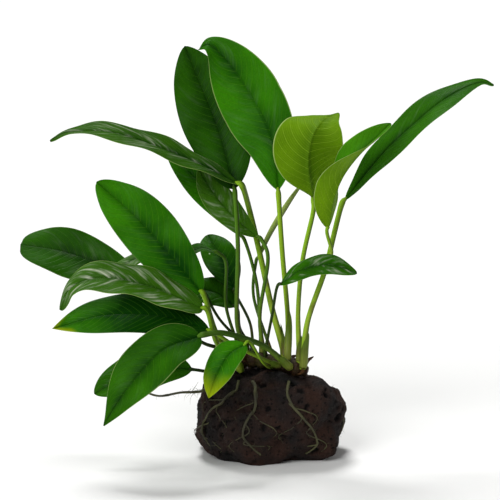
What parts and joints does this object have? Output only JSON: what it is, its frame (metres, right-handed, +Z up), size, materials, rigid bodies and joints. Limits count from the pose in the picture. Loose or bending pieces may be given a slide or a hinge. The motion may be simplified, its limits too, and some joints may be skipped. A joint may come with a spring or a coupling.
{
  "type": "anubias plant on stone",
  "caption": "Water plant with broad, pointed leaves on slender stems, its creeping rhizome and roots holding a flat-bottomed dark stone.",
  "frame": {"origin": "middle of the stone's flat underside, on the surface that it stands on", "axes": "+Z up; the plant is widest along X, and its leaves are shown to a viewer at -Y"},
  "size_m": [0.2392, 0.1057, 0.2102],
  "materials": {
    "lava_stone": "dark pitted lava rock, matt",
    "rhizome": "ringed green-brown stem, satin",
    "leaf": "deep green, waxy gloss",
    "young_leaf": "pale yellow-green, satin",
    "stem": "light green to brown-green, satin",
    "root": "brown-green, matt"
  },
  "bodies": {
    "root": {"stone": "lava_stone", "rhizome": "rhizome", "growing_bud": "young_leaf", "root_front": "root", "root_front_right": "root", "root_front_left": "root", "root_back": "root", "root_back_left": "root", "root_right": "root", "root_long": "root", "stem_crown_back": "stem", "stem_crown_front": "stem", "stem_crown_left_arch": "stem", "stem_young_cupped": "stem", "stem_young_folded": "stem", "stem_far_right": "stem", "stem_low_right": "stem", "stem_left_main": "stem", "stem_far_left": "stem", "stem_left_arch": "stem", "stem_low_left": "stem", "stem_hidden_left": "stem", "stem_front_low": "stem", "stem_back_low": "stem", "stem_front_yellow": "stem", "stem_mid_small": "stem", "stem_mid_low": "stem", "stem_mid_hook": "stem", "stem_centre_front": "stem", "stem_centre_back": "stem", "stem_furled": "stem", "blade_crown_back": "leaf", "blade_crown_front": "leaf", "blade_crown_left_arch": "leaf", "blade_young_cupped": "young_leaf", "blade_young_folded": "young_leaf", "blade_far_right": "leaf", "blade_low_right": "leaf", "blade_left_main": "leaf", "blade_far_left": "leaf", "blade_left_arch": "leaf", "blade_low_left": "leaf", "blade_hidden_left": "leaf", "blade_front_low": "leaf", "blade_back_low": "leaf", "blade_front_yellow": "leaf", "blade_mid_small": "leaf", "blade_mid_low": "leaf", "blade_mid_hook": "leaf", "blade_centre_front": "leaf", "blade_centre_back": "leaf", "blade_furled": "young_leaf"}
  },
  "joints": []
}
